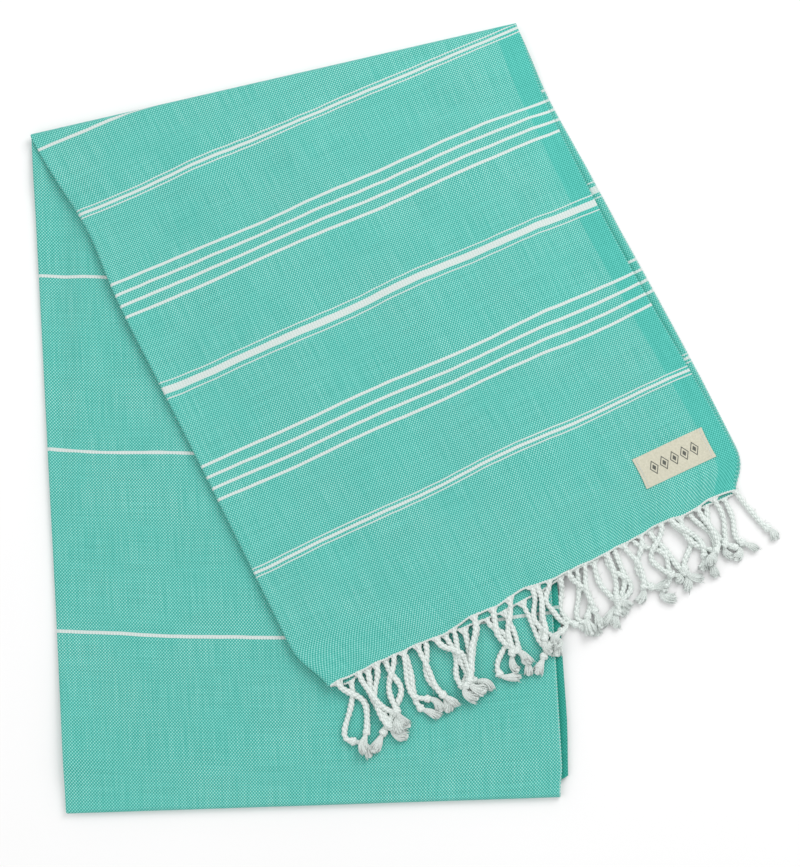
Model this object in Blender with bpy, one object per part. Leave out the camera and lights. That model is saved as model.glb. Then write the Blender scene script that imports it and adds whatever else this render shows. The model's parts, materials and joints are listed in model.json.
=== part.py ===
"""A flat-woven cotton bath towel with knotted fringes, folded into a flat stack.

The cloth is folded in half along its length, so every section of the stack is two
layers thick with a soft fold down its left side and two open selvedges on its right.
From below, the stack is the tucked section, the back section and the flap. The
bottom fold joins the tucked and back sections, and the slanting top fold joins the
back section and the flap. Both folds open like hinges.
Metres, +Z up, +Y away from the bottom fold. The origin is at the middle of the
underside.
"""

import math
import random

import bmesh
import bpy
from mathutils import Vector

# One layer of cloth as it lies, with its share of air, and the space between layers.
LAYER = 0.0015
GAP = 0.0003
PITCH = LAYER + GAP
LAYER_NAMES = ("under_layer", "upper_layer")

# The corners of the folded outline, before it is centred on the origin.
TOP_FOLD_LEFT = Vector((-0.359, 0.295))
TOP_FOLD_RIGHT = Vector((0.114, 0.410))
BOTTOM_FOLD_LEFT = Vector((-0.303, -0.353))
BOTTOM_FOLD_RIGHT = Vector((0.157, -0.338))
FLAP_HEM_LEFT = Vector((-0.080, -0.244))
FLAP_HEM_RIGHT = Vector((0.323, -0.049))
TUCKED_HEM_LEFT = Vector((-0.300, 0.233))
TUCKED_HEM_RIGHT = Vector((0.128, 0.250))

# Where two doubled layers turn over a fold, and where two single layers turn at a side.
FOLD_RADIUS = (4 * LAYER + 3 * GAP) / 2
SIDE_RADIUS = (2 * LAYER + GAP) / 2
FOLD_CLEARANCE = 2 * FOLD_RADIUS + 0.0008
SIDE_CLEARANCE = 2 * SIDE_RADIUS + 0.0004
SIDE_END_CLEARANCE = 0.0006

# How far the other layer's selvedge stands out past the shorter one's.
FLAP_SELVEDGE_STEP = 0.009
BACK_SELVEDGE_STEP = 0.008
# The flap's right side bows outwards, and its corners are soft.
FLAP_RIGHT_BOW = 0.008
FLAP_LEFT_CORNER = 0.020
FLAP_RIGHT_CORNER = 0.014

# The thread that locks each hem, and the fringe that hangs from it.
LOCK_RADIUS = LAYER / 2
UNDER_HEM_DROP = 0.005
FRINGE_SEED = 7
UPPER_TASSELS = 22
UNDER_TASSELS = 21
TASSEL_LENGTH = 0.069
TASSEL_LENGTH_SPREAD = 0.003
TASSEL_ROOT = LOCK_RADIUS + GAP
CORD_RADIUS = 0.0019
KNOT_RADIUS = 0.0030
BRUSH_RADIUS = 0.0027
KNOT_AT = 0.74
KNOT_LEAD = 0.07
KNOT_TAIL = 0.04
KNOT_CLEARANCE_LEAD = 0.2
ROOT_SHARE = 0.1
SETTLED_BY = 0.3
TASSEL_SHARES = (0.0, 0.08, 0.2, 0.35, 0.5, 0.64, 0.69, 0.76, 0.81, 0.92, 1.0)
# Where each row's first tassel hangs along the hem, and the span from first to last.
UPPER_FIRST_SHARE = 0.056
UNDER_FIRST_SHARE = 0.077
TASSEL_SPAN = 0.964
HEM_START_SHARE = 0.045
HEM_END_SHARE = 0.985
# Past the back section's right side, the fringe comes down to the floor over this reach.
DRAPE_START = 0.004
DRAPE_REACH = 0.022
# Each tassel leans by the fan, from the left end to the right end, and by its own sway.
# The last one at the right corner splays outwards.
FAN_LEFT = -0.010
FAN_RIGHT = -0.006
SPLAY = 0.020
SWAY = 0.015
BOW = 0.0036
TIP_SPACING = 0.0072
HIDDEN_TEETH = 22
TOOTH_WIDTH = 0.0045
SPINE_WIDTH = 0.003
HIDDEN_START_SHARE = 0.03
HIDDEN_END_SHARE = 0.99

LABEL_CENTRE = Vector((0.258, -0.0245))
LABEL_SIZE = (0.073, 0.031)
LABEL_TURN = math.radians(25.2)
LABEL_THICKNESS = 0.0006
STITCH_WIDTH = 0.0012
STITCH_INSET = 0.0025

ROLL_STEPS = 12
EDGE_STEPS = 10


def layer_floor(number):
    """The height of the lower face of one of the stack's six layers."""
    return number * PITCH


BACK_TOP = layer_floor(3) + LAYER
BOTTOM_AXIS_HEIGHT = layer_floor(2) - GAP / 2
TOP_AXIS_HEIGHT = layer_floor(4) - GAP / 2


class Section:
    """A flat stretch of the folded cloth, from the fold it starts at to its far end.

    Its length and width are those of its shorter sides.
    """

    def __init__(self, start_left, start_right, end_left, end_right):
        self.start = (start_left, start_right)
        self.end = (end_left, end_right)
        self.length = min((end_left - start_left).length, (end_right - start_right).length)
        self.width = min((start_right - start_left).length, (end_right - end_left).length)

    def at(self, across, along, bow=0.0):
        """A point at these shares of the width and length; bow pushes the side out."""
        near = self.start[0].lerp(self.start[1], across)
        far = self.end[0].lerp(self.end[1], across)
        outward = (self.end[1] - self.end[0]).normalized()
        return near.lerp(far, along) + outward * bow * across * math.sin(math.pi * along)


BACK = Section(TOP_FOLD_LEFT, TOP_FOLD_RIGHT, BOTTOM_FOLD_LEFT, BOTTOM_FOLD_RIGHT)
FLAP = Section(TOP_FOLD_LEFT, TOP_FOLD_RIGHT, FLAP_HEM_LEFT, FLAP_HEM_RIGHT)
TUCKED = Section(BOTTOM_FOLD_LEFT, BOTTOM_FOLD_RIGHT, TUCKED_HEM_LEFT, TUCKED_HEM_RIGHT)


def clear_scene():
    for old in list(bpy.data.objects):
        bpy.data.objects.remove(old)


def cloth_material(name, colour, roughness):
    material = bpy.data.materials.new(name)
    material.use_nodes = True
    shader = material.node_tree.nodes["Principled BSDF"]
    shader.inputs["Base Color"].default_value = (*colour, 1.0)
    shader.inputs["Roughness"].default_value = roughness
    shader.inputs["Metallic"].default_value = 0.0
    return material


def add_object(name, data, material, parent):
    data.materials.append(material)
    obj = bpy.data.objects.new(name, data)
    bpy.context.collection.objects.link(obj)
    obj.parent = parent
    return obj


def add_slab(name, outline, floor, thickness, material, parent, soft_corners=()):
    """A flat solid on this outline. soft_corners holds (outline index, radius) pairs."""
    bm = bmesh.new()
    rim = [bm.verts.new((p.x, p.y, floor)) for p in outline]
    bm.faces.new(rim)
    for index, radius in soft_corners:
        bmesh.ops.bevel(
            bm, geom=[rim[index]], offset=radius, segments=5, profile=0.5, affect="VERTICES"
        )
    raised = bmesh.ops.extrude_face_region(bm, geom=bm.faces[:])
    top = [v for v in raised["geom"] if isinstance(v, bmesh.types.BMVert)]
    bmesh.ops.translate(bm, verts=top, vec=(0.0, 0.0, thickness))
    bmesh.ops.recalc_face_normals(bm, faces=bm.faces[:])
    mesh = bpy.data.meshes.new(name)
    bm.to_mesh(mesh)
    bm.free()
    return add_object(name, mesh, material, parent)


def add_tube(name, points, radii, material, parent, sides=8):
    """A closed round tube through these points, as thick at each as radii says."""
    curve = bpy.data.curves.new(name, "CURVE")
    curve.dimensions = "3D"
    curve.bevel_depth = 1.0
    curve.bevel_resolution = (sides - 4) // 2
    curve.use_fill_caps = True
    spline = curve.splines.new("POLY")
    spline.points.add(len(points) - 1)
    for place, point, radius in zip(spline.points, points, radii, strict=True):
        place.co = (*point, 1.0)
        place.radius = radius
    return add_object(name, curve, material, parent)


def shares(count):
    """count + 1 even steps from 0 to 1."""
    return [i / count for i in range(count + 1)]


def section_outline(section, start_gap, end_gap, right_step, bow):
    """The outline of one layer, clear of the folds at its ends and of its side fold."""
    left = SIDE_CLEARANCE / section.width
    first = start_gap / section.length
    last = 1.0 - end_gap / section.length
    right_side = [
        section.at(1.0 - right_step(along) / section.width, along, bow)
        for along in (first + (last - first) * share for share in shares(EDGE_STEPS))
    ]
    return [section.at(left, first, bow), *right_side, section.at(left, last, bow)]


def add_section(name, section, first_layer, gaps, steps, material, parent, **shape):
    """The two layers of a section and the soft fold down its left side."""
    for number, layer in enumerate(LAYER_NAMES):
        start_gap, end_gap = gaps[number]
        outline = section_outline(
            section, start_gap, end_gap, steps[number], shape.get("bow", 0.0)
        )
        corners = [
            (index % len(outline), radius) for index, radius in shape.get("corners", ())
        ]
        floor = layer_floor(first_layer + number)
        add_slab(f"{name}_{layer}", outline, floor, LAYER, material, parent, corners)

    middle = layer_floor(first_layer) + SIDE_RADIUS
    inset = SIDE_RADIUS / section.width
    first = (gaps[0][0] + SIDE_END_CLEARANCE) / section.length
    last = 1.0 - (shape.get("roll_end", gaps[0][1]) + SIDE_END_CLEARANCE) / section.length
    line = [
        (*section.at(inset, first + (last - first) * share), middle)
        for share in shares(EDGE_STEPS)
    ]
    radii = [SIDE_RADIUS] * len(line)
    add_tube(f"{name}_side_fold", line, radii, material, parent)


def inward(section):
    """The unit direction from a section's starting fold into the section."""
    fold = (section.start[1] - section.start[0]).normalized()
    across = Vector((-fold.y, fold.x))
    towards = section.end[0] - section.start[0]
    return across if across.dot(towards) > 0 else -across


def fold_axis(section):
    """The two ends of the line that a fold turns on, inside its rounded edge."""
    return [corner + inward(section) * FOLD_RADIUS for corner in section.start]


def add_fold(name, section, height, material, parent):
    left, right = fold_axis(section)
    line = [(*left.lerp(right, share), height) for share in shares(4)]
    add_tube(name, line, [FOLD_RADIUS] * len(line), material, parent, sides=ROLL_STEPS)


def hem_line(drop):
    """Points along the flap's hem, a little below the end of its layer."""
    along = 1.0 + drop / FLAP.length
    reach = HEM_END_SHARE - HEM_START_SHARE
    return [FLAP.at(HEM_START_SHARE + reach * share, along) for share in shares(EDGE_STEPS)]


def add_hem_locks(material, parent):
    for layer, number, drop in (("under", 4, UNDER_HEM_DROP), ("upper", 5, 0.0)):
        height = layer_floor(number) + LAYER / 2
        line = [(*p, height) for p in hem_line(drop + LOCK_RADIUS + GAP)]
        add_tube(f"hem_lock_{layer}", line, [LOCK_RADIUS] * len(line), material, parent, 6)


def resting_height(point):
    """How high the surface under the fringe is: the back section's top, or the floor."""
    down = (TOP_FOLD_RIGHT.y - point.y) / (TOP_FOLD_RIGHT.y - BOTTOM_FOLD_RIGHT.y)
    edge = TOP_FOLD_RIGHT.lerp(BOTTOM_FOLD_RIGHT, down).x
    past = min(max((point.x - edge - DRAPE_START) / DRAPE_REACH, 0.0), 1.0)
    return BACK_TOP * (1.0 - past * past * (3.0 - 2.0 * past))


def tassel_radius(share):
    """A tassel's thickness: a plied cord, a knot, then a brush of loose ends."""
    if share < ROOT_SHARE:
        return LOCK_RADIUS + (CORD_RADIUS - LOCK_RADIUS) * share / ROOT_SHARE
    if share < KNOT_AT - KNOT_LEAD:
        return CORD_RADIUS
    if share < KNOT_AT + KNOT_TAIL:
        return KNOT_RADIUS
    return BRUSH_RADIUS


def lying_height(upper, share, radius, surface):
    """The height of a tassel's middle: on what is under it, or on the other row."""
    thickest = KNOT_RADIUS if share > KNOT_AT - KNOT_CLEARANCE_LEAD else CORD_RADIUS
    other_row = 2 * thickest + GAP if upper else 0.0
    return surface + GAP + radius + other_row


def tassel_points(upper, root_share, tip_offset, bow, length):
    """A tassel's centre line, from its hem down onto what lies under it."""
    drop = TASSEL_ROOT + LOCK_RADIUS + GAP + (0.0 if upper else UNDER_HEM_DROP)
    root = FLAP.at(root_share, 1.0 + drop / FLAP.length)
    along = (FLAP.end[1] - FLAP.end[0]).normalized()
    outward = Vector((along.y, -along.x))
    hem_height = layer_floor(5 if upper else 4) + LAYER / 2
    points = []
    radii = []
    for share in TASSEL_SHARES:
        sideways = tip_offset * share**1.25 + bow * math.sin(math.pi * share)
        place = root + outward * length * share + along * sideways
        radius = tassel_radius(share)
        surface = resting_height(place)
        lying = lying_height(upper, share, radius, surface)
        settled = min(share / SETTLED_BY, 1.0)
        settled = settled * settled * (3.0 - 2.0 * settled)
        height = hem_height + (lying - hem_height) * settled
        below = layer_floor(4) + LAYER if upper and share < 0.2 else surface
        points.append((*place, max(height, below + 1.5 * GAP + radius)))
        radii.append(radius)
    return points, radii


def add_tassels(row, count, first_share, material, parent):
    """One row of the fringe. No tip comes closer than TIP_SPACING to the last one."""
    chance = random.Random(f"{FRINGE_SEED} {row}")
    width = (FLAP.end[1] - FLAP.end[0]).length
    last_tip = -width
    for number in range(count):
        root_share = first_share + TASSEL_SPAN * number / UPPER_TASSELS
        fan = FAN_LEFT + (FAN_RIGHT - FAN_LEFT) * root_share
        splay = SPLAY if row == "upper" and number == count - 1 else 0.0
        tip = root_share * width + fan + splay + chance.uniform(-SWAY, SWAY)
        tip = max(tip, last_tip + TIP_SPACING)
        last_tip = tip
        bow = chance.uniform(-BOW, BOW)
        length = TASSEL_LENGTH + chance.uniform(-1.0, 1.0) * TASSEL_LENGTH_SPREAD
        points, radii = tassel_points(
            row == "upper", root_share, tip - root_share * width, bow, length
        )
        add_tube(f"tassel_{row}_{number + 1:02d}", points, radii, material, parent, 6)


def add_hidden_fringe(material, parent):
    """The fringe at the tucked end, as one comb under the back section."""
    outward = TUCKED.end[0] - TUCKED.start[0]
    outward.normalize()
    root = 1.0 + GAP / TUCKED.length
    base_left = TUCKED.at(HIDDEN_START_SHARE, root)
    base_right = TUCKED.at(HIDDEN_END_SHARE, root)
    tooth = ((1, SPINE_WIDTH), (1, TASSEL_LENGTH), (-1, TASSEL_LENGTH), (-1, SPINE_WIDTH))
    side = (base_right - base_left).normalized()
    outline = [base_left, base_right]
    for number in reversed(range(HIDDEN_TEETH)):
        centre = base_left.lerp(base_right, (number + 0.5) / HIDDEN_TEETH)
        for offset, reach in tooth:
            outline.append(centre + side * offset * TOOTH_WIDTH / 2 + outward * reach)
    add_slab("tucked_fringe", outline, GAP, 2 * LAYER, material, parent)


def turned_box(centre, size, turn):
    """The corners of a rectangle about this centre."""
    along = Vector((math.cos(turn), math.sin(turn))) * size[0] / 2
    across = Vector((-math.sin(turn), math.cos(turn))) * size[1] / 2
    return [
        centre - along - across,
        centre + along - across,
        centre + along + across,
        centre - along + across,
    ]


def add_label(tape, thread, parent):
    floor = layer_floor(5) + LAYER + GAP
    outline = turned_box(LABEL_CENTRE, LABEL_SIZE, LABEL_TURN)
    add_slab("label", outline, floor, LABEL_THICKNESS, tape, parent)
    along = Vector((math.cos(LABEL_TURN), math.sin(LABEL_TURN)))
    reach = LABEL_SIZE[0] / 2 - STITCH_INSET
    for side, sign in (("left", -1), ("right", 1)):
        size = (STITCH_WIDTH, LABEL_SIZE[1] - 2 * STITCH_INSET)
        outline = turned_box(LABEL_CENTRE + along * sign * reach, size, LABEL_TURN)
        top = floor + LABEL_THICKNESS + GAP
        add_slab(f"label_stitch_{side}", outline, top, GAP, thread, parent)


def centre_on_underside(root):
    """Moves everything so that the origin is at the middle of the underside."""
    bpy.context.view_layer.update()
    corners = [
        obj.matrix_world @ Vector(corner)
        for obj in bpy.data.objects
        if obj.type in {"MESH", "CURVE"}
        for corner in obj.bound_box
    ]
    low = [min(c[axis] for c in corners) for axis in range(3)]
    high = [max(c[axis] for c in corners) for axis in range(3)]
    root.location = (-(low[0] + high[0]) / 2, -(low[1] + high[1]) / 2, -low[2])


def build():
    clear_scene()
    cotton = cloth_material("teal_cotton", (0.12, 0.51, 0.44), 0.9)
    white = cloth_material("white_cotton", (0.84, 0.85, 0.83), 0.9)
    tape = cloth_material("label_tape", (0.80, 0.78, 0.64), 0.8)
    thread = cloth_material("label_thread", (0.62, 0.58, 0.44), 0.8)
    root = bpy.data.objects.new("towel", None)
    bpy.context.collection.objects.link(root)

    def level(along):
        return 0.0

    def back_step(along):
        return BACK_SELVEDGE_STEP * along

    def flap_step(along):
        return FLAP_SELVEDGE_STEP * math.sin(math.pi * along)

    both_folds = (FOLD_CLEARANCE, FOLD_CLEARANCE)
    one_fold = (FOLD_CLEARANCE, 0.0)
    add_section("tucked", TUCKED, 0, (one_fold, one_fold), (level, level), cotton, root)
    add_fold("bottom_fold", TUCKED, BOTTOM_AXIS_HEIGHT, cotton, root)
    add_hidden_fringe(white, root)

    add_section("back", BACK, 2, (both_folds, both_folds), (level, back_step), cotton, root)
    add_fold("top_fold", FLAP, TOP_AXIS_HEIGHT, cotton, root)

    under_gaps = (FOLD_CLEARANCE, -UNDER_HEM_DROP)
    add_section(
        "flap",
        FLAP,
        4,
        (under_gaps, one_fold),
        (level, flap_step),
        cotton,
        root,
        bow=FLAP_RIGHT_BOW,
        corners=((-1, FLAP_LEFT_CORNER), (-2, FLAP_RIGHT_CORNER)),
        roll_end=1.5 * FLAP_LEFT_CORNER,
    )
    add_hem_locks(white, root)
    add_tassels("upper", UPPER_TASSELS, UPPER_FIRST_SHARE, white, root)
    add_tassels("under", UNDER_TASSELS, UNDER_FIRST_SHARE, white, root)
    add_label(tape, thread, root)
    centre_on_underside(root)


build()
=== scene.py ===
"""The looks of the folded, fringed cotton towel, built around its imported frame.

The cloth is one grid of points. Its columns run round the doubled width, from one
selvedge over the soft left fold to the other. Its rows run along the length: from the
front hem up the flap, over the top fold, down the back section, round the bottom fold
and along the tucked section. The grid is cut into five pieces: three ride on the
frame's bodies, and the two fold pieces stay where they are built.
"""

import json
import math
import random

import bpy
import numpy as np
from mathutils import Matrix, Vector
from mathutils.bvhtree import BVHTree


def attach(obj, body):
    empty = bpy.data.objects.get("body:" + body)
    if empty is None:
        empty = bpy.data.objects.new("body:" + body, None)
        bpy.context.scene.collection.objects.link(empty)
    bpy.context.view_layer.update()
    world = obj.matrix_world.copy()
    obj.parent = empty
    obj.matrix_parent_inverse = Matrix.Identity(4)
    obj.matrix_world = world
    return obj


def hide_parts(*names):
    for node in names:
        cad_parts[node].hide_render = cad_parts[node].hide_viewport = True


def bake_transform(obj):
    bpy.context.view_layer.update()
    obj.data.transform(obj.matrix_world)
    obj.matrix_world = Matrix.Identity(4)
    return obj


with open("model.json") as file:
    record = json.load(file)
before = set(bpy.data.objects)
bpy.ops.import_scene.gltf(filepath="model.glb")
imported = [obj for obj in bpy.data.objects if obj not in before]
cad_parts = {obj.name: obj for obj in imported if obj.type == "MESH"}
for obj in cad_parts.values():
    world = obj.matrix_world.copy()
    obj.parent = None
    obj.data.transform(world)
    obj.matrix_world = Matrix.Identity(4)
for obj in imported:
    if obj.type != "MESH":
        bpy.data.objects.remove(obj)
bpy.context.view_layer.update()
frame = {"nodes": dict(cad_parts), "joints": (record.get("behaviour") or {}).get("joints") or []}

MM = 0.001

# The cloth as it was cut: its half width, its length and its thickness.
HALF_WIDTH = 0.460
CLOTH_LENGTH = 1.864
THICKNESS = 0.8 * MM
SELVEDGE = 22 * MM

# How far apart the two layers of a section lie, from middle to middle, halved.
HALF_LOFT = 0.9 * MM
FOLD_BEND = 1.8 * MM
SIDE_SWELL = 1.3 * MM
SIDE_SWELL_REACH = 13 * MM
LOWEST_MIDDLE = HALF_LOFT + THICKNESS / 2 + 0.15 * MM

# How the cloth is taken up along its length.
TOP_TAKE_UP = 17 * MM
BOTTOM_TAKE_UP = 9 * MM
FLAP_RIGHT_EASE = 1.026
BACK_STRIPE_SAG = 13 * MM
FLAP_UNDER_SHIFT = 12 * MM
BACK_UPPER_SHIFT = 4 * MM
CORNER_PULL = 3 * MM
NICK = 9 * MM
NICK_REACH = 13.5 * MM

# The strip at each fold.
STRIP = 10 * MM
CALM = 45 * MM

HEM_START, HEM_END = 0.045, 0.985
FLAP_STEP, BACK_STEP = 9 * MM, 8 * MM

# The lengths of a section's left and right sides.
FLAP_LENGTHS = (0.606, 0.504 * FLAP_RIGHT_EASE)
BACK_LENGTHS = (0.645, 0.7365)

# The rows of points: how far apart they are, and where they lie in a fold's strip.
ROW_STEP = 5 * MM
TUCKED_ROW_STEP = 8 * MM
FOLD_ROWS = 13
NEAR_FOLD = (0.15, 0.4, 0.7)
HEM_CUSPS = 22
SEED = 11


# ---------------------------------------------------------------- the frame's outline


def node_points(name):
    mesh = bpy.data.objects[name].data
    points = np.empty(len(mesh.vertices) * 3, np.float32)
    mesh.vertices.foreach_get("co", points)
    return points.reshape(-1, 3).astype(float)


def ends(name):
    """The middles of a long thin node's two ends, left one first."""
    points = node_points(name)
    centre = points.mean(axis=0)
    direction = np.linalg.svd(points - centre, full_matrices=False)[2][0]
    if direction[0] < 0:
        direction = -direction
    along = (points - centre) @ direction
    reach = 4 * MM
    left = points[along < along.min() + reach].mean(axis=0)
    right = points[along > along.max() - reach].mean(axis=0)
    left += direction * (along.min() - (left - centre) @ direction)
    right += direction * (along.max() - (right - centre) @ direction)
    return left, right


def corner(name, direction):
    points = node_points(name)
    return points[np.argmax(points @ np.array(direction, float))]


def joint(name):
    return next(j for j in frame["joints"] if j["name"] == name)


TOP_LEFT, TOP_RIGHT = (p[:2] for p in ends("top_fold"))
BOTTOM_LEFT, BOTTOM_RIGHT = (p[:2] for p in ends("bottom_fold"))
TOP_HEIGHT = joint("top_fold_opening")["pos_m"][2]
BOTTOM_HEIGHT = joint("bottom_fold_opening")["pos_m"][2]
lock_left, lock_right = (p[:2] for p in ends("hem_lock_upper"))
hem_run = (lock_right - lock_left) / (HEM_END - HEM_START)
HEM_LEFT = lock_left - hem_run * HEM_START
HEM_RIGHT = lock_right + hem_run * (1 - HEM_END)
TUCKED_LEFT = corner("tucked_side_fold", (-0.2, 1, 0))[:2]
TUCKED_RIGHT = corner("tucked_under_layer", (0.5, 1, 0))[:2]


def outward(left, right, away_from):
    """The unit direction square to a fold, pointing away from this point."""
    along = (right - left) / np.linalg.norm(right - left)
    square = np.array([-along[1], along[0]])
    return square if square @ (left - away_from) > 0 else -square


TOP_OUT = outward(TOP_LEFT, TOP_RIGHT, BOTTOM_LEFT)
BOTTOM_OUT = outward(BOTTOM_LEFT, BOTTOM_RIGHT, TOP_LEFT)


# ---------------------------------------------------------------- smooth helpers


def smooth(value, low, high):
    share = np.clip((value - low) / (high - low), 0.0, 1.0)
    return share * share * (3.0 - 2.0 * share)


def bump(value, centre, width):
    return np.exp(-(((value - centre) / width) ** 2))


def distances(path):
    """How far each point of a path is from its start, along the path."""
    return np.concatenate([[0], np.cumsum(np.linalg.norm(np.diff(path, axis=0), axis=1))])


def waves(seed, length, count=9, stretch=1.0, angle=0.0):
    """A smooth random field over the floor, about -1 to 1; stretch draws it out."""
    chance = random.Random(seed)
    terms = []
    for _ in range(count):
        turn = chance.uniform(0, 2 * math.pi)
        size = 2 * math.pi / (length * chance.uniform(0.7, 1.7))
        terms.append((size * math.cos(turn) / stretch, size * math.sin(turn), chance.uniform(0, 6.28)))
    ca, sa = math.cos(angle), math.sin(angle)

    def field(x, y):
        p, q = x * ca + y * sa, y * ca - x * sa
        return sum(np.sin(kx * p + ky * q + phase) for kx, ky, phase in terms) / count**0.5 / 1.2

    return field


def side_of(left, right, x, y):
    """How far points lie to the left of the line that runs from left to right."""
    d = (right - left) / np.linalg.norm(right - left)
    return d[0] * (y - left[1]) - d[1] * (x - left[0])


BACK_WAVES = waves(SEED + 1, 0.11, stretch=2.4, angle=math.radians(-85))
FLAP_WAVES = waves(SEED + 2, 0.085, stretch=2.8, angle=math.radians(-64))
FINE_WAVES = waves(SEED + 3, 0.030, count=12)
HEM_WAVES = waves(SEED + 4, 0.075, count=7)
DRIFT = waves(SEED + 5, 0.16, count=8)


def fold_distance(x, y):
    """How far points are inside the nearer fold line."""
    top = -side_of(TOP_LEFT, TOP_RIGHT, x, y)
    bottom = side_of(BOTTOM_LEFT, BOTTOM_RIGHT, x, y)
    return np.minimum(top, bottom)


def tucked_under(x, y):
    """1 over the tucked section, falling to 0 a little outside it."""
    left = -side_of(BOTTOM_LEFT, TUCKED_LEFT, x, y)
    right = side_of(BOTTOM_RIGHT, TUCKED_RIGHT, x, y)
    end = -side_of(TUCKED_LEFT, TUCKED_RIGHT, x, y) + 0.055
    inside = np.minimum(np.minimum(left, right), end)
    return smooth(inside, -24 * MM, -1 * MM)


def back_under(x, y):
    """1 over the back section, falling to 0 just past its right side."""
    return smooth(side_of(BOTTOM_RIGHT, TOP_RIGHT, x, y), -48 * MM, -1 * MM)


def loose(x, y):
    """0 near a fold line, where the cloth is held, and 1 away from it."""
    return smooth(fold_distance(x, y), STRIP + 1 * MM, CALM)


def back_middle(x, y):
    level = BOTTOM_HEIGHT + FOLD_BEND
    lowered = LOWEST_MIDDLE + (level - LOWEST_MIDDLE) * tucked_under(x, y)
    free = smooth(fold_distance(x, y), 15 * MM, 80 * MM)
    rise = 0.9 * MM * (1 + BACK_WAVES(x, y)) * loose(x, y)
    return level + (lowered - level) * free + rise


def flap_middle(x, y):
    level = TOP_HEIGHT + FOLD_BEND
    over = back_under(x, y)
    lowered = LOWEST_MIDDLE + (back_middle(x, y) + 2 * FOLD_BEND - LOWEST_MIDDLE) * over
    free = smooth(fold_distance(x, y), 15 * MM, 80 * MM)
    rise = (1.0 * MM * (1 + FLAP_WAVES(x, y)) + 0.25 * MM * (1 + FINE_WAVES(x, y))) * loose(x, y)
    return level + (lowered - level) * free + rise


def tucked_middle(x, y):
    return np.full_like(x, LOWEST_MIDDLE) + 0.25 * MM * (1 + DRIFT(x, y)) * loose(x, y)


# ---------------------------------------------------------------- the cloth's grid


def column_steps():
    """Distances along one layer from the left fold: close together round the fold."""
    near = [0.0, 0.5, 1.0, 1.5, 2.1, 2.8, 3.6, 4.6, 6.0, 8.0, 10.5, 13.5]
    return np.array(near) * MM


NEAR = column_steps()
FAR_SHARES = np.concatenate([np.linspace(0, 1, 91)[1:-1], [0.9945, 0.998, 1.0]])
EDGE_COLUMN = len(NEAR) + len(FAR_SHARES) - 1


class Section:
    """A flat stretch of the doubled cloth between its starting fold and its end."""

    def __init__(self, start, end, middle, steps, along, shift, upper_side, swells=True, bows=None):
        self.start, self.end, self.middle, self.steps = start, end, middle, steps
        self.along, self.shift, self.upper_side = along, shift, upper_side
        self.swells, self.bows = swells, bows

    def sides(self, t):
        left = self.start[0] + (self.end[0] - self.start[0]) * t
        right = self.start[1] + (self.end[1] - self.start[1]) * t
        if self.bows:
            across = (right - left) / np.linalg.norm(right - left)
            left_bow, right_bow = self.bows(t)
            left, right = left + across * left_bow, right + across * right_bow
        return left, right

    def row(self, t):
        """The flat places, the cut's places across and the loft of one row's points."""
        left, right = self.sides(t)
        width = np.linalg.norm(right - left)
        across = (right - left) / width
        fold = fold_distance(*left)
        swell = SIDE_SWELL * smooth(fold, STRIP + 2 * MM, CALM) if self.swells else 0.0
        radius = HALF_LOFT + swell
        turn = radius * math.pi / 2
        flat, cut, loft, lift = [], [], [], []
        for side in (-1, 1):
            reach = width - self.steps(t)[0 if side < 0 else 1]
            longest = reach + turn - radius
            path = np.concatenate([NEAR, NEAR[-1] + (longest - NEAR[-1]) * FAR_SHARES])
            round_it = path < turn
            angle = np.clip(path / radius, 0, math.pi / 2)
            a = np.where(round_it, radius * (1 - np.cos(angle)), radius + path - turn)
            spread = HALF_LOFT + swell * np.exp(-((np.maximum(a - radius, 0) / SIDE_SWELL_REACH) ** 2))
            height = np.where(round_it, np.sin(angle) * radius, spread) * side
            up = swell * np.exp(-((a / SIDE_SWELL_REACH) ** 2))
            u = side * path * HALF_WIDTH / longest
            order = slice(None, None, -1) if side < 0 else slice(1, None)
            flat.append((left + across * a[:, None])[order])
            cut.append(u[order])
            loft.append(height[order])
            lift.append(up[order])
        return *(np.concatenate(part) for part in (flat, cut, loft, lift)), width


def flap_bows(t):
    """How far the flap's left and right sides stand to the right of straight lines."""
    left = 6.5 * MM * bump(t, 0.18, 0.09) + 2.7 * MM * math.sin(math.pi * t)
    right = 9.5 * MM * smooth(t, 0.2, 0.9) - 3.0 * MM * bump(t, 0.15, 0.10)
    corner_pull = smooth(t, 0.90, 1.0)
    return left + 15 * MM * corner_pull**2, right - 19 * MM * corner_pull**3


def flap_steps(t):
    """How far the flap's under and upper selvedges stand back from its right side."""
    return 0.0, FLAP_STEP * math.sin(math.pi * t)


def nick(distance):
    """How far the inner layer's selvedge draws in at this distance from the bottom fold."""
    return NICK * (1 - smooth(distance, NICK_REACH - 1.5 * MM, NICK_REACH + 1.5 * MM))


def back_steps(t):
    upper = BACK_STEP * t + CORNER_PULL * smooth(t, 0.965, 1.0)
    return upper, CORNER_PULL * smooth(t, 0.90, 1.0) + nick((1 - t) * BACK_LENGTHS[1])


def tucked_steps(t):
    outer = BACK_STEP * (1 - t) + CORNER_PULL * (1 - smooth(t, 0.0, 0.04))
    return outer, CORNER_PULL * (1 - t) + nick(t * np.linalg.norm(TUCKED_RIGHT - BOTTOM_RIGHT))


def along_flap(s, t):
    """How far along the cut cloth this place of the flap is, from the front hem."""
    return (FLAP_LENGTHS[0] + (FLAP_LENGTHS[1] - FLAP_LENGTHS[0]) * s) * (1 - t)


def along_back(s, t):
    start = along_flap(s, 0.0) + TOP_TAKE_UP
    sag = BACK_STRIPE_SAG * 4 * s * (1 - s) * smooth(t, 0.0, 0.2)
    return start + (BACK_LENGTHS[0] + (BACK_LENGTHS[1] - BACK_LENGTHS[0]) * s) * t - sag


def along_tucked(s, t):
    start = along_back(s, 1.0) + BOTTOM_TAKE_UP
    return start + (CLOTH_LENGTH - start) * t


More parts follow.
